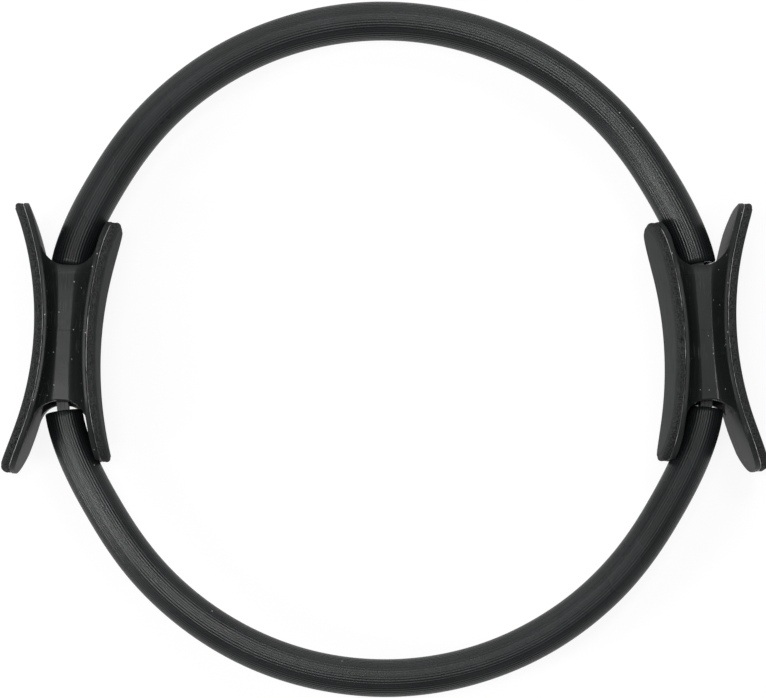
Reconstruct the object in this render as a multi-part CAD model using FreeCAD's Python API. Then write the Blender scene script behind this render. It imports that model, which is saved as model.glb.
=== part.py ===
"""Pilates ring: a sprung hoop of three flat leaves in two ribbed sleeves, with two padded handles.

Millimetres. The ring lies flat: +Z is its axis, X runs from handle to handle, and the origin is
below the hoop's centre, on the surface that the handles' edges rest on. A handle is drawn in a
frame of its own, with X outward from the hoop's line and Y along the handle, and then placed.
"""
import FreeCAD, Part
import math
import os

from FreeCAD import Placement, Rotation, Vector

# Hoop: an upper and a lower arc, and a straight length clamped in each handle, with curves between
# that ease from one to the other; the arcs start at the ease angle, in degrees, from level
hoop_radius = 157.6
arc_centre_rise = 7.6
ease_angle = 32.0
clamp_length = 56.0

# Core: flat spring leaves, from the inside out, each a ring split inside the handle named
leaf_splits = {"inner_leaf": "right", "middle_leaf": "left", "outer_leaf": "right"}
leaf_thickness = 1.85
leaf_gap = 0.1
leaf_width = 12.0
leaf_split_gap = 1.0

# Sleeves: soft tubes with fine ribs along their length
upper_sleeve_diameter = 19.8
lower_sleeve_diameter = 18.7
sleeve_bore = 13.8
sleeve_rib_count = 44
sleeve_rib_height = 0.35
upper_mouth_gap = 1.3
lower_mouth_gap = 3.6
sleeve_slide = 0.7

# Handles: a waist, hollowed at the front and back, between an outer and an inner curved plate
handle_width = 58.0
handle_distance = 159.3
handle_lift = 3.0
handle_tilt = 2.7  # degrees
outer_plate_length = 134.0
inner_plate_length = 119.0
outer_plate_curve = 164.0
inner_plate_curve = 200.0
outer_reach = 9.7
inner_reach = 12.0
plate_thickness = 2.6
plate_edge_thickness = 2.2
plate_corner_radius = 22.0
plate_rim_round = 0.6
waist_length = 67.6
waist_offset = 2.3
waist_width = 31.0
waist_floor_width = 6.2
waist_floor_spread = 1.4
notch_corner_radius = 12.0
mouth_wall = 3.0
mouth_depth = 15.0
mouth_corner_radius = 4.0
core_clearance = 0.3
sleeve_clearance = 0.4

# Pads, and the adhesive films that hold them to the plates
outer_pad_thickness = 3.8
inner_pad_thickness = 4.0
pad_crown = 0.5
pad_inset = 0.4
pad_rim_round = 1.0
bond_gap = 0.5
adhesive_inset = 1.0
adhesive_clearance = 0.15

# Clamp bolts through handle and leaves, with a washer under each head and a nut at each end
bolt_diameter = 4.0
bolt_spacing = 24.0
bolt_hole_clearance = 0.3
bolt_head_diameter = 7.0
bolt_head_height = 2.2
bolt_socket_width = 2.5
bolt_socket_depth = 1.2
bolt_end_length = 0.5
washer_diameter = 9.0
washer_thickness = 0.8
nut_width = 7.0
nut_height = 3.2
thread_clearance = 0.05
recess_clearance = 0.3

# Every cut runs this far past the solid that it cuts
cut_overrun = 5.0

# Edges that turn by more than this are rounded
sharp_angle = math.radians(17)

# Curves: length of their end tangents as a share of what they span, counts of points and sections,
# and how closely a sweep follows its path
flank_share = 0.55
ease_share = 0.3
line_points = 6
hollow_sections = 9
sweep_tolerance = 0.01

half_width = handle_width / 2
half_waist = waist_length / 2
leaf_pitch = leaf_thickness + leaf_gap
core_depth = len(leaf_splits) * leaf_pitch - leaf_gap
outer_axis = outer_reach + outer_plate_curve
inner_axis = -inner_reach - inner_plate_curve
washer_seat = outer_reach - recess_clearance - bolt_head_height - washer_thickness
head_seat = washer_seat + washer_thickness
nut_seat = -inner_reach + recess_clearance + bolt_end_length + nut_height

# Each sleeve's side of the hoop, diameter and gap to the handles' mouths
sleeves = {
    "upper_sleeve": (1, upper_sleeve_diameter, upper_mouth_gap),
    "lower_sleeve": (-1, lower_sleeve_diameter, lower_mouth_gap),
}

CENTRE = Vector(0, 0, 0)
OUTWARD = Vector(1, 0, 0)
ALONG = Vector(0, 1, 0)
UP = Vector(0, 0, 1)


def bezier(poles):
    curve = Part.BezierCurve()
    curve.setPoles(poles)
    return curve


def mirror_point(point):
    return Vector(-point.x, point.y, point.z)


def quarter_line(side, offset):
    """Points beside the hoop's line on the right, from the straight length in the handle up (1) or
    down (-1) to the crown, offset outward."""
    angle = math.radians(ease_angle)
    tilt = math.radians(handle_tilt)
    way = side * Vector(-math.sin(tilt), math.cos(tilt), 0)
    start = Vector(handle_distance, handle_lift, 0) + way * (clamp_length / 2 + side * waist_offset)
    centre = Vector(0, side * arc_centre_rise, 0)
    end = centre + hoop_radius * Vector(math.cos(angle), side * math.sin(angle), 0)
    end_way = Vector(-math.sin(angle), side * math.cos(angle), 0)
    reach = ease_share * (end - start).Length
    ease = bezier([start, start + way * reach, end - end_way * reach, end])
    points = []
    for step in range(line_points):
        place = step / line_points
        outward = side * ease.tangent(place)[0].cross(UP)
        points.append(ease.value(place) + offset * outward)
    for step in range(line_points + 1):
        turn = angle + (math.pi / 2 - angle) * step / line_points
        points.append(centre + (hoop_radius + offset) * Vector(math.cos(turn), side * math.sin(turn), 0))
    return points


def hoop_loop(offset):
    """Closed outline that follows the hoop, offset outward from its line."""
    upper = quarter_line(1, offset)
    lower = quarter_line(-1, offset)
    straight = []
    for step in range(1, line_points):
        straight.append(lower[0] + (upper[0] - lower[0]) * (step / line_points))
    right = lower[::-1] + straight + upper
    left = [mirror_point(point) for point in right[-2:0:-1]]
    loop = Part.BSplineCurve()
    loop.interpolate(Points=right + left, PeriodicFlag=True)
    return Part.Wire(loop.toShape())


def hoop_band(inner_offset, outer_offset, width):
    """Flat band that follows the hoop, centred on its plane."""
    band = Part.Face(hoop_loop(outer_offset)).cut(Part.Face(hoop_loop(inner_offset)))
    band.translate(Vector(0, 0, -width / 2))
    return band.extrude(Vector(0, 0, width))


def place_right(shape):
    """Moves a shape from the handle's own frame to the right-hand handle's place on the hoop."""
    placed = shape.copy()
    seat = Placement(Vector(handle_distance, handle_lift, 0), Rotation(UP, handle_tilt))
    placed.Placement = seat.multiply(placed.Placement)
    return placed


def mirror_left(shape):
    return shape.mirror(CENTRE, OUTWARD)


def on_side(shape, side):
    """A shape in the handle's own frame, placed on the right or the left of the hoop."""
    placed = place_right(shape)
    return placed if side == "right" else mirror_left(placed)


def rod(diameter, start, end):
    """Round bar along the handle's depth."""
    return Part.makeCylinder(diameter / 2, end - start, Vector(start, 0, 0), OUTWARD)


def hexagon_bar(width, start, end):
    """Six-sided bar along the handle's depth, with its width across the flats."""
    corner = width / math.sqrt(3)
    turns = [math.radians(60 * step) for step in range(7)]
    points = [Vector(start, corner * math.sin(turn), corner * math.cos(turn)) for turn in turns]
    return Part.Face(Part.makePolygon(points)).extrude(Vector(end - start, 0, 0))


def at_bolts(shape):
    """Copies of a shape at both bolt places."""
    copies = []
    for side in (-1, 1):
        copy = shape.copy()
        copy.translate(Vector(0, side * bolt_spacing / 2, 0))
        copies.append(copy)
    return copies


def leaf(place, split_side):
    """One flat leaf of the core, with its split and its bolt holes; place counts from the inside."""
    inner = place * leaf_pitch - core_depth / 2
    band = hoop_band(inner, inner + leaf_thickness, leaf_width)
    hole = rod(bolt_diameter + 2 * bolt_hole_clearance, -core_depth - cut_overrun, core_depth + cut_overrun)
    holes = [on_side(cut, side) for cut in at_bolts(hole) for side in ("right", "left")]
    split = Part.makeBox(2 * core_depth, leaf_split_gap, 2 * leaf_width,
                         Vector(-core_depth, -leaf_split_gap / 2, -leaf_width))
    return band.cut(holes + [on_side(split, split_side)])


def ribbed_ring(diameter):
    """Outline of a sleeve's section: a round of ribs made of one arc each, seen along the sleeve."""
    crown = diameter / 2
    groove = crown - sleeve_rib_height

    def rim(step, radius):
        turn = 2 * math.pi * step / sleeve_rib_count
        return Vector(radius * math.cos(turn), 0, radius * math.sin(turn))

    ribs = []
    for step in range(sleeve_rib_count):
        ribs.append(Part.Arc(rim(step, groove), rim(step + 1 / 2, crown), rim(step + 1, groove)).toShape())
    return Part.Wire(ribs)


def round_ring(diameter):
    return Part.Wire(Part.makeCircle(diameter / 2, CENTRE, ALONG))


def sleeve_path(side, mouth_gap):
    """Length of the hoop's line that the upper (1) or lower (-1) sleeve covers, counter-clockwise. It
    starts and ends outside the handles' mouths, and has slid a little along the hoop."""
    right = quarter_line(side, 0)
    left = [mirror_point(point) for point in right]
    line = Part.BSplineCurve()
    line.interpolate(right + left[-2::-1] if side > 0 else left + right[-2::-1])
    edge = line.toShape()
    in_mouth = (waist_length - clamp_length) / 2
    first = edge.getParameterByLength(in_mouth + mouth_gap + sleeve_slide)
    last = edge.getParameterByLength(edge.Length - in_mouth - mouth_gap + sleeve_slide)
    return line.toShape(first, last)


def swept(section, path):
    """Solid that a section, drawn across the handle's length, leaves along a level path."""
    way = path.tangentAt(path.FirstParameter)
    turn = math.degrees(math.atan2(-way.x, way.y))
    section.Placement = Placement(path.valueAt(path.FirstParameter), Rotation(UP, turn))
    sweep = Part.BRepOffsetAPI.MakePipeShell(Part.Wire(path))
    sweep.setBiNormalMode(UP)
    sweep.setTolerance(sweep_tolerance, sweep_tolerance, sweep_tolerance)
    sweep.add(section)
    sweep.build()
    sweep.makeSolid()
    return sweep.shape()


def sleeve(side, diameter, mouth_gap):
    """Ribbed tube over the upper (1) or lower (-1) half of the hoop."""
    path = sleeve_path(side, mouth_gap)
    return swept(ribbed_ring(diameter), path).cut(swept(round_ring(sleeve_bore), path))


def plate_plan(length, width, corner_radius):
    """Rounded rectangle across the handle, extruded both ways along its depth."""
    reach = outer_plate_length
    block = Part.makeBox(2 * reach, length, width, Vector(-reach, -length / 2, -width / 2))
    corners = [edge for edge in block.Edges if edge.Length > 1.5 * reach]
    return block.makeFillet(corner_radius, corners)


def curved_along(profile, axis, length, curve):
    """Turns a closed profile about a line parallel to Z, far enough to pass a plate's ends."""
    half_turn = math.degrees(math.asin((length / 2 + cut_overrun) / curve))
    pivot = Vector(axis, 0, 0)
    turned = Part.Face(profile).revolve(pivot, UP, 2 * half_turn)
    turned.rotate(pivot, UP, -half_turn)
    return turned


def plate_half(outer):
    """Plate and the half of the waist behind it, before the hollows and notches are cut."""
    reach = outer_plate_length
    axis = outer_axis if outer else inner_axis
    curve = outer_plate_curve if outer else inner_plate_curve
    plan = plate_plan(outer_plate_length if outer else inner_plate_length, handle_width, plate_corner_radius)
    half = Part.makeBox(reach, 2 * reach, 2 * reach, Vector(0 if outer else -reach, -reach, -reach))
    face = Part.makeCylinder(curve, handle_width + 2 * cut_overrun, Vector(axis, 0, -half_width - cut_overrun))
    return plan.common(half).cut(face)


def flank(way, along):
    """Poles of one flank of the hollow before the waist, on the outer (1) or inner (-1) side, at a
    place along the handle. It leaves the plate's rim upright and meets the waist's floor level."""
    axis = outer_axis if way > 0 else inner_axis
    curve = outer_plate_curve if way > 0 else inner_plate_curve
    rim_x = axis - way * math.sqrt((curve + plate_edge_thickness) ** 2 - along ** 2)
    rim = Vector(rim_x, along, half_width)
    floor_width = waist_floor_width + waist_floor_spread * (along / half_waist) ** 2
    root = Vector(way * floor_width / 2, along, waist_width / 2)
    upright = Vector(0, 0, flank_share * (root.z - rim.z))
    level = Vector(flank_share * (rim.x - root.x), 0, 0)
    return [rim, rim + upright, root + level, root]


def hollow_section(along):
    """Closed outline of the hollow at a place along the handle: two flanks, the floor between them,
    and a lid that clears the rims."""
    inner = flank(-1, along)
    outer = flank(1, along)
    clear = Vector(0, 0, cut_overrun)
    lid = [outer[0], outer[0] + clear, inner[0] + clear, inner[0]]
    floor = Part.makeLine(inner[-1], outer[-1])
    edges = [bezier(inner).toShape(), floor, bezier(outer[::-1]).toShape()]
    edges.extend(Part.makeLine(start, end) for start, end in zip(lid, lid[1:]))
    return Part.Wire(edges)


def hollows():
    """Spaces cut from the front and the back of the waist."""
    reach = outer_plate_length / 2 + cut_overrun
    places = [2 * step / (hollow_sections - 1) - 1 for step in range(hollow_sections)]
    front = Part.makeLoft([hollow_section(reach * place) for place in places], True)
    return [front, front.mirror(CENTRE, UP)]


def gap_between_plates(wall, width, start, corner_radius):
    """Space between the plates from a height to past their ends, with rounded lower corners."""
    reach = outer_plate_length
    walls = (-inner_reach, outer_reach)
    block = Part.makeBox(2 * reach, reach, width, Vector(-reach, start, -width / 2))
    for axis, curve in ((outer_axis, outer_plate_curve), (inner_axis, inner_plate_curve)):
        foot = Vector(axis, 0, -width / 2 - cut_overrun)
        block = block.cut(Part.makeCylinder(curve + wall, width + 2 * cut_overrun, foot))
    between = [solid for solid in block.Solids if walls[0] < solid.CenterOfMass.x < walls[1]][0]
    lower = between.BoundBox.YMin
    floor = [edge for edge in between.Edges
             if edge.Length > width - wall and edge.BoundBox.YMax < lower + wall]
    return between.makeFillet(corner_radius, floor)


def end_gaps(wall, width, inset, corner_radius):
    """Spaces between the plates at both ends of the waist, starting inset below its ends."""
    upper = gap_between_plates(wall, width, half_waist + waist_offset - inset, corner_radius)
    lower = gap_between_plates(wall, width, half_waist - waist_offset - inset, corner_radius)
    return [upper, lower.mirror(CENTRE, ALONG)]


def is_sharp(solid, edge):
    """Whether the two faces at an edge meet at a marked angle."""
    middle = edge.valueAt((edge.FirstParameter + edge.LastParameter) / 2)
    normals = []
    for face in solid.ancestorsOfType(edge, Part.Face):
        normals.append(face.normalAt(*face.Surface.parameter(middle)))
    return len(normals) == 2 and normals[0].getAngle(normals[1]) > sharp_angle


def spool():
    """One handle moulding with rounded edges, before the holes that the core and bolts need."""
    notches = end_gaps(plate_thickness, handle_width + 2 * cut_overrun, 0, notch_corner_radius)
    body = plate_half(True).fuse(plate_half(False)).cut(hollows() + notches).removeSplitter().Solids[0]
    return body.makeFillet(plate_rim_round, [edge for edge in body.Edges if is_sharp(body, edge)])


def handle():
    """One handle in its own frame: the spool with its mouths, bolt holes and recesses."""
    cuts = end_gaps(mouth_wall, waist_width - 2 * mouth_wall, mouth_depth, mouth_corner_radius)
    hole = rod(bolt_diameter + 2 * bolt_hole_clearance, nut_seat - cut_overrun, washer_seat + cut_overrun)
    counterbore = rod(washer_diameter + 2 * recess_clearance, washer_seat, outer_reach + cut_overrun)
    nut_pocket = hexagon_bar(nut_width + 2 * recess_clearance, -inner_reach - cut_overrun, nut_seat)
    for cut in (hole, counterbore, nut_pocket):
        cuts.extend(at_bolts(cut))
    return spool().cut(cuts)


def sleeve_room(side, diameter, mouth_gap):
    """Space that the handles keep clear for a sleeve."""
    path = sleeve_path(side, mouth_gap - sleeve_clearance)
    return swept(round_ring(diameter + 2 * sleeve_clearance), path)


def fitted_handles():
    """Both handles in their places, with the core's slot and room for the sleeves."""
    half_slot = core_depth / 2 + core_clearance
    slot = hoop_band(-half_slot, half_slot, leaf_width + 2 * core_clearance)
    cuts = [slot] + [sleeve_room(*sizes) for sizes in sleeves.values()]
    body = handle()
    return {side + "_handle": on_side(body, side).cut(cuts) for side in ("right", "left")}


def plate_layer(outer, start, thickness, inset, crown):
    """Layer on a plate's face, start above it, drawn in from the plate's rim, with a crowned face."""
    way = 1 if outer else -1
    axis = outer_axis if outer else inner_axis
    curve = outer_plate_curve if outer else inner_plate_curve
    length = outer_plate_length if outer else inner_plate_length
    reach = outer_reach if outer else inner_reach
    near = way * (reach + start)
    far = near + way * thickness
    low, high = (Vector(far, 0, side * half_width) for side in (-1, 1))
    face_edge = Part.makeLine(low, high)
    if crown > 0:
        face_edge = Part.Arc(low, Vector(far + way * crown, 0, 0), high).toShape()
    sides = Part.makePolygon([high, Vector(near, 0, half_width), Vector(near, 0, -half_width), low])
    profile = Part.Wire(Part.__sortEdges__(sides.Edges + [face_edge]))
    layer = curved_along(profile, axis, length, curve)
    plan = plate_plan(length - 2 * inset, handle_width - 2 * inset, plate_corner_radius - inset)
    return layer.common(plan).Solids[0]


def pad(outer, thickness):
    """Foam pad on its adhesive, with a rounded rim round its crowned face."""
    block = plate_layer(outer, bond_gap, thickness, pad_inset, pad_crown)
    axis = Vector(outer_axis if outer else inner_axis, 0, 0)
    curve = outer_plate_curve if outer else inner_plate_curve
    middle = curve - bond_gap - thickness / 2

    def from_axis(edge):
        point = edge.valueAt((edge.FirstParameter + edge.LastParameter) / 2) - axis
        return math.hypot(point.x, point.y)

    rim = [edge for edge in block.Edges if is_sharp(block, edge) and from_axis(edge) < middle]
    return block.makeFillet(pad_rim_round, rim)


def adhesive(outer):
    """Film between a plate and its pad."""
    thickness = bond_gap - 2 * adhesive_clearance
    return plate_layer(outer, adhesive_clearance, thickness, adhesive_inset, 0)


def bolt():
    """Clamp bolt with a hexagon socket in its head."""
    top = head_seat + bolt_head_height
    head = rod(bolt_head_diameter, head_seat, top)
    shank = rod(bolt_diameter, nut_seat - nut_height - bolt_end_length, head_seat)
    socket = hexagon_bar(bolt_socket_width, top - bolt_socket_depth, top + cut_overrun)
    return head.fuse(shank).cut(socket).removeSplitter()


def washer():
    hole = rod(bolt_diameter + 2 * bolt_hole_clearance, washer_seat - cut_overrun, head_seat + cut_overrun)
    return rod(washer_diameter, washer_seat, head_seat).cut(hole)


def nut():
    far = nut_seat - nut_height
    hole = rod(bolt_diameter + 2 * thread_clearance, far - cut_overrun, nut_seat + cut_overrun)
    return hexagon_bar(nut_width, far, nut_seat).cut(hole)


def handle_fittings():
    """Every piece on a handle, in the handle's own frame."""
    return {
        "outer_pad": pad(True, outer_pad_thickness),
        "inner_pad": pad(False, inner_pad_thickness),
        "outer_adhesive": adhesive(True),
        "inner_adhesive": adhesive(False),
        "clamp_bolts": Part.makeCompound(at_bolts(bolt())),
        "clamp_washers": Part.makeCompound(at_bolts(washer())),
        "clamp_nuts": Part.makeCompound(at_bolts(nut())),
    }


def ring():
    """Every piece of the ring by name, centred on the hoop's plane."""
    pieces = {name: leaf(place, side) for place, (name, side) in enumerate(leaf_splits.items())}
    for name, sizes in sleeves.items():
        pieces[name] = sleeve(*sizes)
    pieces.update(fitted_handles())
    for name, shape in handle_fittings().items():
        for side in ("right", "left"):
            pieces[side + "_" + name] = on_side(shape, side)
    return pieces


os.makedirs("parts", exist_ok=True)
for name, shape in ring().items():
    shape.translate(Vector(0, 0, half_width))
    shape.exportStep(os.path.join("parts", name + ".step"))
    print(name, len(shape.Solids), "solids", round(shape.Volume), "mm3", "valid" if shape.isValid() else "INVALID")
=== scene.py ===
# %% [markdown]
# # Pilates ring
#
# The object is a sprung hoop in two ribbed rubber sleeves, with a padded, spool-shaped handle on each
# side. Its solids come in as a fixed frame, already at their real size and place. This lesson dresses
# them: hard mouldings keep their solid and get a material, while rubber, foam and glue are modelled
# anew as meshes that lie where their solids were.

# %% Load the solids
import math

import bpy
import numpy as np
from mathutils import Matrix, Vector, noise


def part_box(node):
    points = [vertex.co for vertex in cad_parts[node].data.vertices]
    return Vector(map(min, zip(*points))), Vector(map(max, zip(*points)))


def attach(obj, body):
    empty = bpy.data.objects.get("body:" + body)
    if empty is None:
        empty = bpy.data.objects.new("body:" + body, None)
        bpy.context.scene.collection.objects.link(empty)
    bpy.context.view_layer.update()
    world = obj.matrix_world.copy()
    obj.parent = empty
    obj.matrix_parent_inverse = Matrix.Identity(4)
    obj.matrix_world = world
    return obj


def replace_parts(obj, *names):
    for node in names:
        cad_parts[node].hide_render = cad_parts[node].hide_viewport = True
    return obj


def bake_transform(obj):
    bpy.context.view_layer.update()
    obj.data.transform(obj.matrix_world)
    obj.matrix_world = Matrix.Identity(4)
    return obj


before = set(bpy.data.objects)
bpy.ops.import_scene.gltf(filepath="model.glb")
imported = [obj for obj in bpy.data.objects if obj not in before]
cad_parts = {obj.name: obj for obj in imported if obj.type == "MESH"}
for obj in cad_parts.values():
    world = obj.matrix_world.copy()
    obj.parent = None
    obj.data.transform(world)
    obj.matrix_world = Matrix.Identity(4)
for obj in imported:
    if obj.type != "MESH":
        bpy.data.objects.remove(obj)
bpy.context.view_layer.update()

mm = 0.001

# %% [markdown]
# ## Sizes
#
# The lines that all pieces follow are measured in the frame, so that the meshes lie where their solids
# were. The hoop's line runs half-way between the two walls of the middle leaf. A wall's points lie
# degrees apart, so a cubic through them gives its radius at every angle without facets. The clamp bolts
# point straight out through a handle, so the line from nuts to washers is its axis, which meets the
# hoop at the handle's seat.

# %% Measure the hoop and the handles
right_body, left_body = "hoop_and_right_handle", "left_handle_set"
# A face looks along a direction when the cosine between the two is above this.
looks_along = 0.9


def middle(node):
    """Centre of a solid's box."""
    lowest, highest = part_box(node)
    return (lowest + highest) / 2


def half_height(node):
    """Half of a solid's height."""
    lowest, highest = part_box(node)
    return (highest.z - lowest.z) / 2


def wall_radii(mesh, facing, angles):
    """Radius of a leaf's outer (1) or inner (-1) wall at every angle, on a cubic through its points."""
    found = {}
    for polygon in mesh.polygons:
        if facing * polygon.normal.dot(polygon.center.normalized()) < looks_along:
            continue
        for vertex in polygon.vertices:
            spot = mesh.vertices[vertex].co
            # Points above one another have the same angle, and one of them is enough.
            found[round(math.atan2(spot.y, spot.x), 4)] = math.hypot(spot.x, spot.y)
    turns, radii = np.array(sorted(found.items())).T
    slopes = np.gradient(radii, turns)
    first = np.clip(np.searchsorted(turns, angles) - 1, 0, len(turns) - 2)
    span = turns[first + 1] - turns[first]
    share = np.clip((angles - turns[first]) / span, 0, 1)
    rise = share ** 2 * (3 - 2 * share)
    bend = span * share * (1 - share) * (slopes[first] * (1 - share) - slopes[first + 1] * share)
    return radii[first] * (1 - rise) + radii[first + 1] * rise + bend


line_steps = 720
line_angles = np.linspace(-math.pi, math.pi, line_steps, endpoint=False)
leaf_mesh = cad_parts["middle_leaf"].data
line_radii = (wall_radii(leaf_mesh, 1, line_angles) + wall_radii(leaf_mesh, -1, line_angles)) / 2
hoop_radius = float(line_radii.mean())
hoop_plane = middle("upper_sleeve").z


def line_place(turn):
    """Point of the hoop's line at an angle."""
    radius = np.interp(turn, line_angles, line_radii, period=2 * math.pi)
    return Vector((radius * math.cos(turn), radius * math.sin(turn), hoop_plane))


nuts = middle("right_clamp_nuts")
bolt_line = middle("right_clamp_washers") - nuts
handle_tilt = math.atan2(bolt_line.y, bolt_line.x)
handle_seat = nuts + bolt_line * ((line_place(math.atan2(nuts.y, nuts.x)).x - nuts.x) / bolt_line.x)
print("mean hoop radius", round(hoop_radius / mm, 2), "handle tilt", round(math.degrees(handle_tilt), 2),
      "handle seat", [round(place / mm, 2) for place in handle_seat])

# %% [markdown]
# ## Helpers for materials
#
# Colours are given as sRGB hex values, but a shader works with linear light, so one function
# turns the first into the second. Another adds a node, sets it up and fills its inputs, either with
# plain values or with links from other nodes. Two more start a material with an empty tree and close
# it with its output. A mix node has sockets of the same names for each kind of data, so the ones that
# are needed here get names by their place.

# %% Colour and node helpers
mix_share = 0
number_from, number_to = 2, 3
colour_from, colour_to, mixed_colour = 6, 7, 2


def linear(hex_colour):
    """Linear colour of an sRGB hex value such as #2b2d2e."""
    shares = [int(hex_colour[place:place + 2], 16) / 255 for place in (1, 3, 5)]
    channels = [s / 12.92 if s <= 0.04045 else ((s + 0.055) / 1.055) ** 2.4 for s in shares]
    return (*channels, 1)


def add_node(tree, kind, inputs=None, **settings):
    """Adds a shader node, with settings and with inputs given as values or as sockets to link."""
    node = tree.nodes.new("ShaderNode" + kind)
    for name, value in settings.items():
        setattr(node, name, value)
    for name, value in (inputs or {}).items():
        if isinstance(value, bpy.types.NodeSocket):
            tree.links.new(value, node.inputs[name])
        else:
            node.inputs[name].default_value = value
    return node


def new_material(name):
    """Material with an empty node tree; returns the material and its tree."""
    material = bpy.data.materials.new(name)
    material.use_nodes = True
    material.node_tree.nodes.clear()
    return material, material.node_tree


def finish_material(material, surface):
    """Links the surface to the material's output; returns the material."""
    add_node(material.node_tree, "OutputMaterial", {"Surface": surface})
    print(material.name, "has", len(material.node_tree.nodes), "nodes")
    return material


print("half grey #808080 is", round(linear("#808080")[0], 3), "in linear light")

# %% [markdown]
# ## Extruded rubber
#
# The sleeves are black rubber pushed through a die, which leaves fine streaks along the tube and a
# satin gloss. The pattern lives in the mesh's UV map, laid out in metres along and around the tube, so
# that it stays on the rubber when the hoop bends. Long thin noise makes the streaks, which are finer on
# the real rubber and are drawn 0.9 mm wide so that they show. A wide noise makes the worn patches, and
# a few random cells of a Voronoi pattern become specks of pale dust. All that surrounds the ring is
# white, which would wash the black out, so the specular level is below the usual 0.5.

# %% Rubber material
streak_length, streak_width = 60 * mm, 0.9 * mm
patch_size = 35 * mm
dust_spacing, dust_size = 9 * mm, 0.3 * mm
dust_share = 0.12


def dust_mask(tree, place, spacing, size, share, dimensions):
    """Mask of round specks, in a share of the cells of a Voronoi pattern."""
    cells = add_node(tree, "TexVoronoi", {"Vector": place, "Scale": 1 / spacing}, voronoi_dimensions=dimensions)
    near = add_node(tree, "Math", {0: cells.outputs["Distance"], 1: size / spacing}, operation="LESS_THAN")
    pick = add_node(tree, "Math", {0: cells.outputs["Color"], 1: share}, operation="LESS_THAN")
    return add_node(tree, "Math", {0: near.outputs[0], 1: pick.outputs[0]}, operation="MULTIPLY").outputs[0]


def extruded_rubber():
    material, tree = new_material("extruded_rubber")
    place = add_node(tree, "TexCoord").outputs["UV"]
    stretched = add_node(tree, "Mapping", {"Vector": place, "Scale": (1 / streak_length, 1 / streak_width, 1)})
    streaks = add_node(tree, "TexNoise", {"Vector": stretched.outputs[0], "Scale": 1, "Detail": 4})
    patches = add_node(tree, "TexNoise", {"Vector": place, "Scale": 1 / patch_size, "Detail": 3})
    both = add_node(tree, "Math", {0: streaks.outputs["Fac"], 1: patches.outputs["Fac"]}, operation="MULTIPLY")
    tone = add_node(tree, "MapRange", {"Value": both.outputs[0], "From Min": 0.12, "From Max": 0.42})
    black = add_node(tree, "Mix", {
        mix_share: tone.outputs[0], colour_from: linear("#141617"), colour_to: linear("#232627")
    }, data_type="RGBA")
    dust = dust_mask(tree, place, dust_spacing, dust_size, dust_share, "2D")
    colour = add_node(tree, "Mix", {
        mix_share: dust, colour_from: black.outputs[mixed_colour], colour_to: linear("#a9aaa6")
    }, data_type="RGBA")
    rough = add_node(tree, "MapRange", {"Value": patches.outputs["Fac"], "To Min": 0.2, "To Max": 0.34})
    bump = add_node(tree, "Bump", {"Height": streaks.outputs["Fac"], "Strength": 0.1, "Distance": 0.1 * mm})
    shader = add_node(tree, "BsdfPrincipled", {
        "Base Color": colour.outputs[mixed_colour], "Roughness": rough.outputs[0],
        "Normal": bump.outputs[0], "Specular IOR Level": 0.35})
    return finish_material(material, shader.outputs[0])


rubber = extruded_rubber()

# %% [markdown]
# ## Moulded ABS
#
# The handles are black ABS. Round the waist the mould was polished: a clear, slightly wavy gloss,
# smudged and scuffed where hands touch it, with a fine line across the middle where two inserts of the
# mould met, and a little dust. The plates' free ends and the insides of the mouths have a dull moulded
# texture. The material has to know where on a handle it is, and because a handle is a rigid solid,
# object coordinates are enough. The mirrored X makes one material serve both sides, and the mapping
# moves it to the handle's own axes: X points outward, Y runs along the waist.

# %% Places on a handle
polished_half, textured_half = 31 * mm, 37 * mm
mouth_radius, waist_radius = 12 * mm, 13.5 * mm


def handle_axes(tree, place):
    """Place on a handle's own axes."""
    folded = add_node(tree, "VectorMath", {0: place}, operation="ABSOLUTE").outputs[0]
    apart = add_node(tree, "SeparateXYZ", {0: place})
    mirrored_x = add_node(tree, "SeparateXYZ", {0: folded}).outputs["X"]
    right_side = add_node(tree, "CombineXYZ", {"X": mirrored_x, "Y": apart.outputs["Y"], "Z": apart.outputs["Z"]})
    return add_node(tree, "Mapping", {"Vector": right_side.outputs[0], "Location": handle_seat,
                                      "Rotation": (0, 0, handle_tilt)}, vector_type="TEXTURE").outputs[0]


def textured_mask(tree, own_axes, along):
    """Mask of the plates' free ends and of the insides of the mouths."""
    from_waist = add_node(tree, "Math", {0: along}, operation="ABSOLUTE").outputs[0]
    on_ends = add_node(tree, "MapRange", {"Value": from_waist, "From Min": polished_half, "From Max": textured_half})
    across = add_node(tree, "VectorMath", {0: own_axes, 1: (1, 0, 1)}, operation="MULTIPLY")
    from_hoop = add_node(tree, "VectorMath", {0: across.outputs[0]}, operation="LENGTH").outputs["Value"]
    in_mouth = add_node(tree, "MapRange", {"Value": from_hoop, "From Min": waist_radius, "From Max": mouth_radius})
    return add_node(tree, "Math", {0: on_ends.outputs[0], 1: in_mouth.outputs[0]}, operation="MAXIMUM").outputs[0]


print("waist polished over", round(2 * polished_half / mm), "mm")

# %% [markdown]
# The scuffs are long thin noise along the waist, kept to a few patches by a wide one. Scuffs and parting
# line are finer on the real handle, and are drawn 0.5 mm wide so that they show. As on the rubber, the
# specular level is below the usual 0.5.

# %% ABS material
smudge_size = 28 * mm
ripple_size = 7 * mm
parting_place, parting_width = 3.2 * mm, 0.5 * mm
speck_spacing, speck_size = 3 * mm, 0.28 * mm
speck_share = 0.4
scuff_length, scuff_width, scuffed_patch = 14 * mm, 0.5 * mm, 22 * mm
textured_roughness = 0.6


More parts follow.
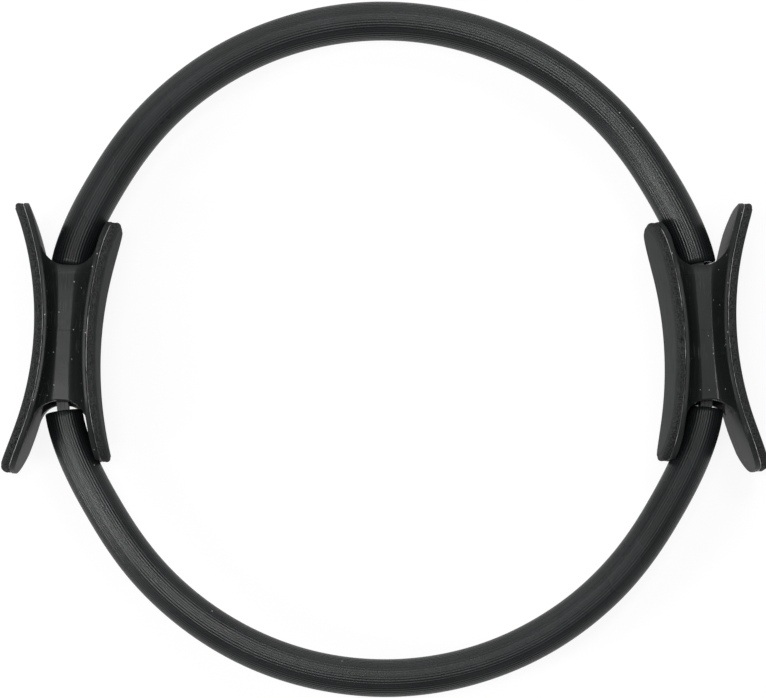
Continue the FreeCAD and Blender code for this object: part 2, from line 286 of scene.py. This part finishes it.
def scuff_mask(tree, place, own_axes):
    """Mask of thin lines along the waist, in patches."""
    fine = add_node(tree, "Mapping", {
        "Vector": own_axes, "Scale": (1 / scuff_width, 1 / scuff_length, 1 / scuff_width)})
    lines = add_node(tree, "TexNoise", {"Vector": fine.outputs[0], "Scale": 1, "Detail": 3})
    line = add_node(tree, "MapRange", {"Value": lines.outputs["Fac"], "From Min": 0.55, "From Max": 0.68})
    patches = add_node(tree, "TexNoise", {"Vector": place, "Scale": 1 / scuffed_patch, "Detail": 2})
    patch = add_node(tree, "MapRange", {"Value": patches.outputs["Fac"], "From Min": 0.52, "From Max": 0.6})
    return add_node(tree, "Math", {0: line.outputs[0], 1: patch.outputs[0]}, operation="MULTIPLY").outputs[0]


def moulded_abs():
    material, tree = new_material("moulded_abs")
    place = add_node(tree, "TexCoord").outputs["Object"]
    own_axes = handle_axes(tree, place)
    along = add_node(tree, "SeparateXYZ", {0: own_axes}).outputs["Y"]
    parting = add_node(tree, "Math", {0: along, 1: parting_place, 2: parting_width / 2}, operation="COMPARE")
    smudges = add_node(tree, "TexNoise", {"Vector": place, "Scale": 1 / smudge_size, "Detail": 5, "Roughness": 0.6})
    ripples = add_node(tree, "TexNoise", {"Vector": place, "Scale": 1 / ripple_size, "Detail": 2})
    black = add_node(tree, "Mix", {
        mix_share: smudges.outputs["Fac"], colour_from: linear("#1a1c1c"), colour_to: linear("#242626")
    }, data_type="RGBA")
    scuffed = add_node(tree, "Mix", {
        mix_share: scuff_mask(tree, place, own_axes), colour_from: black.outputs[mixed_colour],
        colour_to: linear("#454747")
    }, data_type="RGBA")
    colour = add_node(tree, "Mix", {
        mix_share: dust_mask(tree, place, speck_spacing, speck_size, speck_share, "3D"),
        colour_from: scuffed.outputs[mixed_colour], colour_to: linear("#b8b8b4")
    }, data_type="RGBA")
    polish = add_node(tree, "MapRange", {"Value": smudges.outputs["Fac"], "From Min": 0.3, "From Max": 0.7,
                                         "To Min": 0.16, "To Max": 0.3})
    rough = add_node(tree, "Mix", {
        mix_share: textured_mask(tree, own_axes, along), number_from: polish.outputs[0],
        number_to: textured_roughness})
    wavy = add_node(tree, "Bump", {"Height": ripples.outputs["Fac"], "Strength": 0.12, "Distance": 0.3 * mm})
    lined = add_node(tree, "Bump", {"Height": parting.outputs[0], "Strength": 0.8, "Distance": 0.15 * mm,
                                    "Normal": wavy.outputs[0]}, invert=True)
    shader = add_node(tree, "BsdfPrincipled", {
        "Base Color": colour.outputs[mixed_colour], "Roughness": rough.outputs[0],
        "Normal": lined.outputs[0], "Specular IOR Level": 0.22})
    return finish_material(material, shader.outputs[0])


abs_plastic = moulded_abs()

# %% [markdown]
# ## EVA foam
#
# The pads are closed-cell EVA foam, cut from a sheet: a dull skin on the face, and a darker, rougher
# edge where the knife opened the cells. The real cells are about 0.2 mm wide, too fine to show, so
# they are drawn at 0.6 mm. The mesh carries a number at each point, 1 on the cut edge and 0 on the
# face, and the material mixes its two looks by it.

# %% Foam material
cell_size = 0.6 * mm
blotch_size = 9 * mm


def eva_foam():
    material, tree = new_material("eva_foam")
    place = add_node(tree, "TexCoord").outputs["Object"]
    cut = add_node(tree, "Attribute", attribute_name="cut_edge").outputs["Fac"]
    cells = add_node(tree, "TexVoronoi", {"Vector": place, "Scale": 1 / cell_size})
    grain = add_node(tree, "TexNoise", {"Vector": place, "Scale": 1 / cell_size, "Detail": 3})
    blotches = add_node(tree, "TexNoise", {"Vector": place, "Scale": 1 / blotch_size, "Detail": 4})
    speckle = add_node(tree, "MapRange", {"Value": grain.outputs["Fac"], "From Min": 0.4, "From Max": 0.6})
    skin = add_node(tree, "Mix", {
        mix_share: blotches.outputs["Fac"], colour_from: linear("#323334"), colour_to: linear("#434445")
    }, data_type="RGBA")
    edge = add_node(tree, "Mix", {
        mix_share: speckle.outputs[0], colour_from: linear("#0d0e0e"), colour_to: linear("#414242")
    }, data_type="RGBA")
    colour = add_node(tree, "Mix", {
        mix_share: cut, colour_from: skin.outputs[mixed_colour], colour_to: edge.outputs[mixed_colour]
    }, data_type="RGBA")
    deep = add_node(tree, "MapRange", {"Value": cut, "To Min": 0.15, "To Max": 0.6})
    bump = add_node(tree, "Bump", {"Height": cells.outputs["Distance"], "Strength": deep.outputs[0],
                                   "Distance": 0.25 * mm})
    shader = add_node(tree, "BsdfPrincipled", {
        "Base Color": colour.outputs[mixed_colour], "Roughness": 0.9,
        "Normal": bump.outputs[0], "Specular IOR Level": 0.15})
    return finish_material(material, shader.outputs[0])


foam = eva_foam()

# %% [markdown]
# ## Contact glue, laminate and zinc
#
# Three finishes show little. Dried contact glue is a lumpy, pale grey film with a soft gloss. The
# spring leaves are a black glass-fibre laminate, whose bundles of fibres leave faint lines along the
# leaf. The clamp hardware is zinc-plated steel, a metal with cloudy reflections, hidden under the
# pads. One noise is enough for each of them, so one function makes all three.

# %% Glue, laminate and zinc materials
glue_lump = 2.5 * mm
fibre_run, fibre_spacing = 9 * mm, 0.8 * mm
zinc_cloud = 3 * mm


def noisy_material(name, scale, dark, pale, roughness, bump_depth, **shader_values):
    """Material whose colour and roughness both follow one noise."""
    material, tree = new_material(name)
    place = add_node(tree, "TexCoord").outputs["Object"]
    spots = add_node(tree, "Mapping", {"Vector": place, "Scale": scale})
    pattern = add_node(tree, "TexNoise", {"Vector": spots.outputs[0], "Scale": 1, "Detail": 4})
    colour = add_node(tree, "Mix", {
        mix_share: pattern.outputs["Fac"], colour_from: linear(dark), colour_to: linear(pale)
    }, data_type="RGBA")
    rough = add_node(tree, "MapRange", {"Value": pattern.outputs["Fac"], "To Min": roughness[0],
                                        "To Max": roughness[1]})
    bump = add_node(tree, "Bump", {"Height": pattern.outputs["Fac"], "Strength": 0.4, "Distance": bump_depth})
    shader = add_node(tree, "BsdfPrincipled", {
        "Base Color": colour.outputs[mixed_colour], "Roughness": rough.outputs[0],
        "Normal": bump.outputs[0], **shader_values})
    return finish_material(material, shader.outputs[0])


glue = noisy_material("contact_glue", [1 / glue_lump] * 3, "#9a9b9b", "#eaebeb", (0.3, 0.55), 0.2 * mm)
laminate = noisy_material("glass_fibre_laminate", (1 / fibre_run, 1 / fibre_run, 1 / fibre_spacing),
                          "#101112", "#222426", (0.3, 0.5), 0.05 * mm)
zinc = noisy_material("zinc_plated_steel", [1 / zinc_cloud] * 3, "#9a9da0", "#c9cccf", (0.25, 0.42), 0.02 * mm,
                      Metallic=1)

# %% [markdown]
# ## A mesh from points and faces
#
# All new pieces are computed point by point with formulas, because their shapes are regular: tubes
# that follow the hoop and layers that follow a plate. One helper turns points and faces into a mesh
# with smooth shading, and another puts a mesh into the scene as a piece with one material.

# %% Mesh helpers


def add_piece(name, mesh, material):
    """Object in the scene for a mesh, with one material."""
    mesh.materials.clear()
    mesh.materials.append(material)
    piece = bpy.data.objects.new(name, mesh)
    bpy.context.scene.collection.objects.link(piece)
    print(name, len(mesh.vertices), "points", len(mesh.polygons), "faces")
    return piece


def make_piece(name, points, faces, material):
    """Piece with smooth shading from points and faces."""
    mesh = bpy.data.meshes.new(name)
    mesh.from_pydata([tuple(point) for point in points], [], faces)
    mesh.shade_smooth()
    return add_piece(name, mesh, material)


# %% [markdown]
# ## Ribbed sleeves
#
# Each sleeve is a tube with fine ribs along its length, cut square at both ends. A bent cylinder with
# a bump texture would show smooth outlines, so here the ribs are real: every rib is a small arch of
# points, and rings of such arches follow the hoop's line. The arches are lower than the solid's ribs,
# because steep ribs mirror the lamps all round the tube and make it look flat. A point of a sleeve is
# given by its angle along the hoop, its angle around the tube and its distance from the hoop's line.

# %% Places along a sleeve
sleeve_rings = 160
end_round = 0.5 * mm
turn_step = math.radians(1)


def sleeve_place(turn, around, radius):
    """Point of a sleeve: turn along the hoop, around the tube, radius from the hoop's line."""
    along = line_place(turn + turn_step) - line_place(turn - turn_step)
    outward = Vector((along.y, -along.x, 0)).normalized()
    return line_place(turn) + radius * (math.sin(around) * outward - math.cos(around) * Vector((0, 0, 1)))


def sleeve_turns(node):
    """Angles of the rings along the hoop, from right to left, with a close pair at each end for the
    rounded cut. A sleeve's ends are the faces of its solid that look along the hoop."""
    ends = {True: [], False: []}
    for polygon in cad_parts[node].data.polygons:
        spot = polygon.center
        if abs(polygon.normal.dot(Vector((-spot.y, spot.x, 0)).normalized())) > looks_along:
            ends[spot.x > 0].append(spot.copy())
    right, left = (sum(ends[key], Vector()) / len(ends[key]) for key in (True, False))
    first, last = (math.atan2(spot.y, spot.x) for spot in (right, left))
    step_in = math.copysign(end_round / hoop_radius, last - first)
    return [first, *np.linspace(first + step_in, last - step_in, sleeve_rings - 1), last]


for node in ("upper_sleeve", "lower_sleeve"):
    turns = sleeve_turns(node)
    print(node, "from", round(math.degrees(turns[0]), 1), "to", round(math.degrees(turns[-1]), 1), "degrees")

# %% [markdown]
# A slow noise swells and thins the rubber by about a tenth of a millimetre. Seen from the end a sleeve
# is hollow, so the bore is modelled too, with one point per rib and fewer rings, and one face per rib
# closes each end.

# %% Rings and faces of a sleeve
rib_count, rib_height, points_per_rib = 44, 0.16 * mm, 8
skin_count = rib_count * points_per_rib
bore_radius = 6.9 * mm
bore_every = 4
swell, swell_length = 0.12 * mm, 40 * mm


def skin_ring(turn, skin_radius, drawn_in):
    """Ring of ribs whose crests lie at the skin's radius."""
    ring = []
    for step in range(skin_count):
        around = 2 * math.pi * step / skin_count
        across_rib = 2 * (step / points_per_rib % 1) - 1
        swelling = swell * noise.noise(sleeve_place(turn, around, skin_radius) / swell_length)
        radius = skin_radius - rib_height * across_rib ** 2 - drawn_in + swelling
        ring.append(sleeve_place(turn, around, radius))
    return ring


def tube_faces(start, rings, count, inward):
    """Faces between rings of points, of which the first point has the index start."""
    faces = []
    for ring in range(rings - 1):
        for step in range(count):
            a = start + ring * count + step
            b = start + ring * count + (step + 1) % count
            faces.append((a, a + count, b + count, b) if inward else (a, b, b + count, a + count))
    return faces


def end_faces(ring_start, bore_start, flip):
    """Faces from a ring of ribs to a ring of the bore, one per rib."""
    faces = []
    for rib in range(rib_count):
        skin = [ring_start + (rib * points_per_rib + step) % skin_count for step in range(points_per_rib + 1)]
        bore = [bore_start + (rib + step) % rib_count for step in (1, 0)]
        loop = bore + skin
        faces.append(tuple(loop if flip else reversed(loop)))
    return faces


def lay_out_sleeve(mesh, turns, girth):
    """UV map in metres: along the hoop and around the tube. The bore, out of sight, gets no length."""
    uv_map = mesh.uv_layers.new(name="length_and_girth")
    skin_points = len(turns) * skin_count
    for polygon in mesh.polygons:
        steps = [vertex % skin_count for vertex in polygon.vertices]
        wraps = max(steps) - min(steps) > skin_count / 2
        for loop, vertex, step in zip(polygon.loop_indices, polygon.vertices, steps):
            along = turns[vertex // skin_count] * hoop_radius if vertex < skin_points else 0
            share = (step + skin_count if wraps and step < skin_count / 2 else step) / skin_count
            uv_map.data[loop].uv = (along, share * girth)


def sleeve(name, node, side):
    turns = sleeve_turns(node)
    bore_turns = turns[::bore_every]
    skin_radius = half_height(node)
    last = len(turns) - 1
    points = []
    for place, turn in enumerate(turns):
        points.extend(skin_ring(turn, skin_radius, end_round if place in (0, last) else 0))
    bore_start = len(points)
    for turn in bore_turns:
        points.extend(sleeve_place(turn, 2 * math.pi * rib / rib_count, bore_radius) for rib in range(rib_count))
    faces = tube_faces(0, len(turns), skin_count, inward=False)
    faces += tube_faces(bore_start, len(bore_turns), rib_count, inward=True)
    faces += end_faces(0, bore_start, flip=False)
    faces += end_faces(last * skin_count, bore_start + (len(bore_turns) - 1) * rib_count, flip=True)
    if side < 0:
        faces = [tuple(reversed(face)) for face in faces]
    piece = make_piece(name, points, faces, rubber)
    lay_out_sleeve(piece.data, turns, 2 * math.pi * skin_radius)
    return piece


sleeves = {"ribbed_sleeve_upper": ("upper_sleeve", 1), "ribbed_sleeve_lower": ("lower_sleeve", -1)}
for name, (node, side) in sleeves.items():
    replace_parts(sleeve(name, node, side), node)

# %% [markdown]
# ## Spring leaves
#
# The core is a stack of three flat leaves, seen only between a sleeve's end and a handle. Their solids
# already have the right shape, with the splits and the bolt holes, but a solid of the frame can't
# bend. So each leaf's mesh is copied into a new piece.

# %% Leaf copies
leaves = {"spring_leaf_outer": "outer_leaf", "spring_leaf_middle": "middle_leaf", "spring_leaf_inner": "inner_leaf"}
for name, node in leaves.items():
    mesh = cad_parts[node].data.copy()
    mesh.name = name
    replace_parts(add_piece(name, mesh, laminate), node)

# %% [markdown]
# ## Sleeves and leaves at rest
#
# When the handles are squeezed, the hoop bends evenly from one to the other. Here the sleeves and
# leaves only have their places baked into their meshes.

# %% Bake the places of the sleeves and leaves
for name in [*sleeves, *leaves]:
    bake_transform(bpy.data.objects[name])

# %% [markdown]
# ## Layers on the plates
#
# Each handle has an outer and an inner plate, hollow along its length, with a film of glue and a foam
# pad on it. Both are layers of one kind: a rounded rectangle, seen from the front, that follows the
# plate's curve. A plate's face lies at a distance from the hoop's line, and its curve is the radius of
# the hollow. A layer is drawn as a stack of closed outlines. Each outline has an inset from the
# plate's rim and a height above its face, from the middle of the back, round the edge, to the middle
# of the face, where the outline has shrunk to a line and its two sides meet.

# %% Outlines and places on a plate
plate_width = (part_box("right_handle")[1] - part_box("right_handle")[0]).z
corner_radius = 22 * mm
corner_steps, long_steps, short_steps = 10, 64, 8
sides = ((1, "right", right_body), (-1, "left", left_body))
plates = {
    "outer": {"way": 1, "face": 9.7 * mm, "curve": 164 * mm, "length": 134 * mm, "pad": 3.8 * mm},
    "inner": {"way": -1, "face": 12 * mm, "curve": 200 * mm, "length": 119 * mm, "pad": 4 * mm},
}


def outline(length, inset):
    """Rounded rectangle as points (along, across); every inset gives the same count of points."""
    half_long, half_wide = length / 2 - inset, plate_width / 2 - inset
    radius = max(corner_radius - inset, 0)
    arcs = []
    for quarter, (along, across) in enumerate(((1, 1), (-1, 1), (-1, -1), (1, -1))):
        centre = Vector((along * (half_long - radius), across * max(half_wide - radius, 0)))
        turns = [(quarter + step / corner_steps) * math.pi / 2 for step in range(corner_steps + 1)]
        arcs.append([centre + radius * Vector((math.cos(turn), math.sin(turn))) for turn in turns])
    points = []
    for arc, following, steps in zip(arcs, arcs[1:] + arcs[:1], (long_steps, short_steps) * 2):
        points.extend(arc)
        points.extend(arc[-1].lerp(following[0], step / steps) for step in range(1, steps))
    return points


def on_plate(plate, side, along, across, height):
    """Place of a point above a plate's face, on the right (1) or left (-1) of the ring."""
    radius = plate["curve"] - height
    depth = plate["way"] * (plate["face"] + plate["curve"] - math.sqrt(radius ** 2 - along ** 2))
    x = handle_seat.x + depth * math.cos(handle_tilt) - along * math.sin(handle_tilt)
    y = handle_seat.y + depth * math.sin(handle_tilt) + along * math.cos(handle_tilt)
    return Vector((side * x, y, plate_width / 2 + across))


def layer(name, plate, side, rows, material):
    """Closed layer on a plate, from rows of (inset, height, crown, ragged, cut). A crown lifts the middle,
    ragged says how far an edge wanders at a place, and cut is 1 on a cut edge and 0 elsewhere."""
    points, cuts = [], []
    for inset, height, crown, ragged, cut in rows:
        ring = outline(plate["length"], inset)
        for along, across in ring:
            lift = crown * (1 - (2 * across / plate_width) ** 2)
            spot = on_plate(plate, side, along, across, height)
            wander = ragged(spot) if ragged else 0
            shift = Vector((along, across)).normalized() * wander
            points.append(on_plate(plate, side, along - shift.x, across - shift.y, height + lift))
            cuts.append(cut)
    count = len(ring)
    faces = []
    for row in range(len(rows) - 1):
        for step in range(count):
            a, b = row * count + step, row * count + (step + 1) % count
            face = (a, b, b + count, a + count)
            faces.append(face if side * plate["way"] > 0 else tuple(reversed(face)))
    piece = make_piece(name, points, faces, material)
    piece.data.attributes.new("cut_edge", "FLOAT", "POINT").data.foreach_set("value", cuts)
    return piece


outline_count = len(outline(plates["outer"]["length"], 0))
print("plates", round(plate_width / mm, 1), "mm wide,", outline_count, "points per outline")

# %% [markdown]
# ## Foam pads
#
# A pad is firm foam of even thickness with a slightly crowned face. Its edge is a knife cut, a little
# uneven, that draws in at half height because the foam was pressed while it was cut. The solid pad
# starts one bond gap above the plate. Here its back reaches lower, so that only a thin line of glue
# shows, and its face stays where it was. The rows of outlines walk round this section.

# %% Pad rows
bond_gap, glue_line = 0.5 * mm, 0.25 * mm
pad_inset, pad_crown, pad_rim = 0.25 * mm, 0.5 * mm, 2.4 * mm
rim_steps = 8
edge_shares = (0.06, 0.25, 0.5, 0.75)
edge_dip, edge_wander, wander_length = 0.12 * mm, 0.22 * mm, 5 * mm
half_plate = plate_width / 2
face_insets = [3 * mm, 5 * mm, 8 * mm, 11 * mm, 16 * mm, 21.5 * mm, half_plate]


def knife(spot):
    """How far the cut wanders in or out at a place."""
    return edge_wander * noise.noise(spot / wander_length)


def pad_rows(thickness):
    """Rows from the middle of the back, up the cut edge and over the rounded rim, to the middle of the face."""
    top = bond_gap + thickness
    rows = [(inset, glue_line, 0, None, 0) for inset in reversed(face_insets)]
    rows.append((pad_inset, glue_line, 0, knife, 1))
    for share in edge_shares:
        dip = edge_dip * math.sin(math.pi * share)
        rows.append((pad_inset + dip, glue_line + share * (top - pad_rim - glue_line), 0, knife, 1))
    for step in range(rim_steps + 1):
        turn = step / rim_steps * math.pi / 2
        inset = pad_inset + pad_rim * (1 - math.cos(turn))
        rows.append((inset, top - pad_rim * (1 - math.sin(turn)), 0, knife, 1 - step / rim_steps))
    rows.extend((inset, top, pad_crown, None, 0) for inset in face_insets)
    return rows


for side, word, body in sides:
    for plate_name, plate in plates.items():
        pad = layer(f"foam_pad_{word}_{plate_name}", plate, side, pad_rows(plate["pad"]), foam)
        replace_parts(pad, f"{word}_{plate_name}_pad")
        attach(pad, body)

# %% [markdown]
# ## Glue films
#
# The glue under a pad was spread by hand, so its edge is uneven: most of it stays back in the gap, and
# here and there a bead is squeezed out and catches the light as a pale dotted line. The same layer
# function draws it, thinner, with an edge that wanders much more.

# %% Glue rows
glue_start, glue_thickness = 0.03 * mm, 0.2 * mm
glue_inset, glue_wander = 0.7 * mm, 1.1 * mm
bead_length, smear_length = 1.2 * mm, 14 * mm
rim_margin = 0.2 * mm
bead_steps = 4


def squeeze_out(spot):
    """How far the glue stays back from its mean edge, or is squeezed past it, but never past the rim."""
    wander = glue_wander * (noise.noise(spot / bead_length) + noise.noise(spot / smear_length))
    return max(wander, rim_margin - glue_inset)


def glue_rows():
    """Rows as for a pad, with a half-round bead as the edge."""
    rows = [(inset, glue_start, 0, None, 0) for inset in reversed(face_insets)]
    for step in range(bead_steps + 1):
        turn = step / bead_steps * math.pi
        inset = glue_inset - glue_thickness / 2 * math.sin(turn)
        rows.append((inset, glue_start + glue_thickness * (1 - math.cos(turn)) / 2, 0, squeeze_out, 0))
    rows.extend((inset, glue_start + glue_thickness, 0, None, 0) for inset in face_insets)
    return rows


for side, word, body in sides:
    for plate_name, plate in plates.items():
        film = layer(f"glue_film_{word}_{plate_name}", plate, side, glue_rows(), glue)
        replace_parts(film, f"{word}_{plate_name}_adhesive")
        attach(film, body)

# %% [markdown]
# ## Handles and clamp hardware
#
# The mouldings and the bolts, washers and nuts are rigid, and their solids have the real shape, so they
# stay and only take their materials.

# %% Materials on the solids that stay
for word in ("right", "left"):
    for piece, material in (("handle", abs_plastic), ("clamp_bolts", zinc), ("clamp_washers", zinc),
                            ("clamp_nuts", zinc)):
        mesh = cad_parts[f"{word}_{piece}"].data
        mesh.materials.clear()
        mesh.materials.append(material)
        print(f"{word}_{piece}", "in", material.name)

# %% [markdown]
# ## Floor and world
#
# The ring lies on a pale floor. A camera that looks straight down sees only the floor behind the
# object. To the camera and in reflections the floor is a glow just under white with a faint matt
# share, which makes up the rest of the white and takes the shadow. To all other rays it is an ordinary
# pale matt floor, and the world adds an even, weak light.

# %% Floor and world
floor_size = 12.0
floor_drop = 0.2 * mm
floor_glow = 0.88
world_level = 0.3


def pale_floor():
    material, tree = new_material("pale_studio_floor")
    rays = add_node(tree, "LightPath")
    direct = add_node(tree, "Math", {0: rays.outputs["Is Camera Ray"], 1: rays.outputs["Is Glossy Ray"]},
                      operation="MAXIMUM")
    seen = add_node(tree, "Math", {0: direct.outputs[0], 1: rays.outputs["Is Transmission Ray"]},
                    operation="MAXIMUM")
    matt = add_node(tree, "BsdfDiffuse", {"Color": linear("#f4f4f4")})
    glow = add_node(tree, "Emission", {"Color": linear("#ffffff"), "Strength": floor_glow})
    faint = add_node(tree, "BsdfDiffuse", {"Color": linear("#707070")})
    white = add_node(tree, "AddShader", {0: glow.outputs[0], 1: faint.outputs[0]})
    surface = add_node(tree, "MixShader", {0: seen.outputs[0], 1: matt.outputs[0], 2: white.outputs[0]})
    return finish_material(material, surface.outputs[0])


half_floor = floor_size / 2
corners = [(x * half_floor, y * half_floor, -floor_drop) for x, y in ((-1, -1), (1, -1), (1, 1), (-1, 1))]
floor_mesh = bpy.data.meshes.new("floor")
floor_mesh.from_pydata(corners, [], [(0, 1, 2, 3)])
floor_mesh.materials.append(pale_floor())
floor = bpy.data.objects.new("floor", floor_mesh)
bpy.context.scene.collection.objects.link(floor)

world = bpy.data.worlds.new("white_studio")
bpy.context.scene.world = world
world.use_nodes = True
world.node_tree.nodes.clear()
sky = add_node(world.node_tree, "Background", {"Color": linear("#ffffff"), "Strength": world_level})
add_node(world.node_tree, "OutputWorld", {"Surface": sky.outputs[0]})
print("floor", floor_size, "m wide, world at", world_level)

# %% [markdown]
# ## Lamps
#
# Black surfaces show little but reflections, so the lamps stand where the ring mirrors them to the
# camera. Two small, strong ones overhead, left and right, make the narrow highlight along the sleeves.
# A large one beyond the top lights the outer half of the upper sleeve, a broad, weak one overhead
# lifts the waists, and one on the left picks out the left-hand edges. Each has a place, a width and
# length in metres, and a brightness of its face, from which its power follows.

# %% Lamps
aim = Vector((0, 0, hoop_plane))
lamps = {
    "softbox_overhead": ((0.1, -0.1, 2.4), (1.2, 1.0), 1.2),
    "softbox_overhead_left": ((-0.38, -0.05, 2.3), (0.3, 0.4), 24),
    "softbox_overhead_right": ((0.42, 0.74, 2.3), (0.3, 0.4), 15),
    "softbox_top": ((-0.3, 1.7, 1.4), (2.4, 1.2), 1.6),
    "softbox_left": ((-1.5, -0.6, 1.2), (0.35, 0.7), 14),
}
for name, (place, (width, length), brightness) in lamps.items():
    lamp = bpy.data.lights.new(name, "AREA")
    lamp.shape = "RECTANGLE"
    lamp.size, lamp.size_y = width, length
    lamp.energy = brightness * math.pi * width * length
    box = bpy.data.objects.new(name, lamp)
    box.location = place
    box.rotation_euler = (aim - Vector(place)).to_track_quat("-Z", "Y").to_euler()
    bpy.context.scene.collection.objects.link(box)
    print(name, round(lamp.energy, 1), "W")

# %% [markdown]
# ## Camera
#
# The photograph looks down on the ring from about 1.8 m, a little from the left and from below, which
# shows in the inner faces of the right-hand pads and in the lower mouths. The camera's matrix is built
# from its viewing direction, with the image's upward direction along +Y and a slight roll.

# %% Camera
camera_place = Vector((-0.055, -0.2, 1.78 + hoop_plane))
camera_aim = Vector((-0.0009, -0.0014, hoop_plane))
camera_roll = math.radians(-0.23)
camera_lens = 168.5

look = (camera_aim - camera_place).normalized()
across = look.cross(Vector((0, 1, 0))).normalized()
upward = across.cross(look)
turned = Matrix((across, upward, -look)).transposed() @ Matrix.Rotation(camera_roll, 3, "Z")
camera = bpy.data.objects.new("camera", bpy.data.cameras.new("camera"))
camera.data.lens = camera_lens
camera.matrix_world = Matrix.Translation(camera_place) @ turned.to_4x4()
bpy.context.scene.collection.objects.link(camera)
bpy.context.scene.camera = camera
bpy.context.scene.view_settings.view_transform = "Standard"
print("camera", round((camera_aim - camera_place).length, 2), "m away, lens", camera_lens, "mm")
